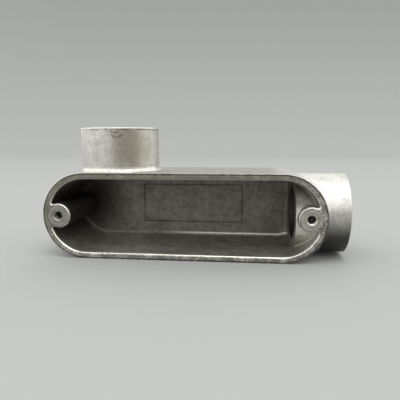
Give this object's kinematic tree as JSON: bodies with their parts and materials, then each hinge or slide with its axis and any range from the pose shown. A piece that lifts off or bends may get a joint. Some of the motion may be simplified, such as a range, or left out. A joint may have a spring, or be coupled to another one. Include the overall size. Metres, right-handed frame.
{
  "type": "conduit body",
  "caption": "Cast metal conduit body: a long round-ended trough with a flat cover rim and screw bosses, a threaded hub on one end and another on the long side.",
  "frame": {"origin": "middle of the cover-screw pattern, in the plane of the cover rim", "axes": "-Y out of the opening, square to the cover rim; +X along the trough to the end hub; +Z out of the side hub"},
  "size_m": [0.1559, 0.0449, 0.0673],
  "materials": {
    "cast_aluminium": "as cast and tumbled, satin, with a sanded rim"
  },
  "bodies": {
    "root": {"conduit_body": "cast_aluminium"}
  },
  "joints": []
}
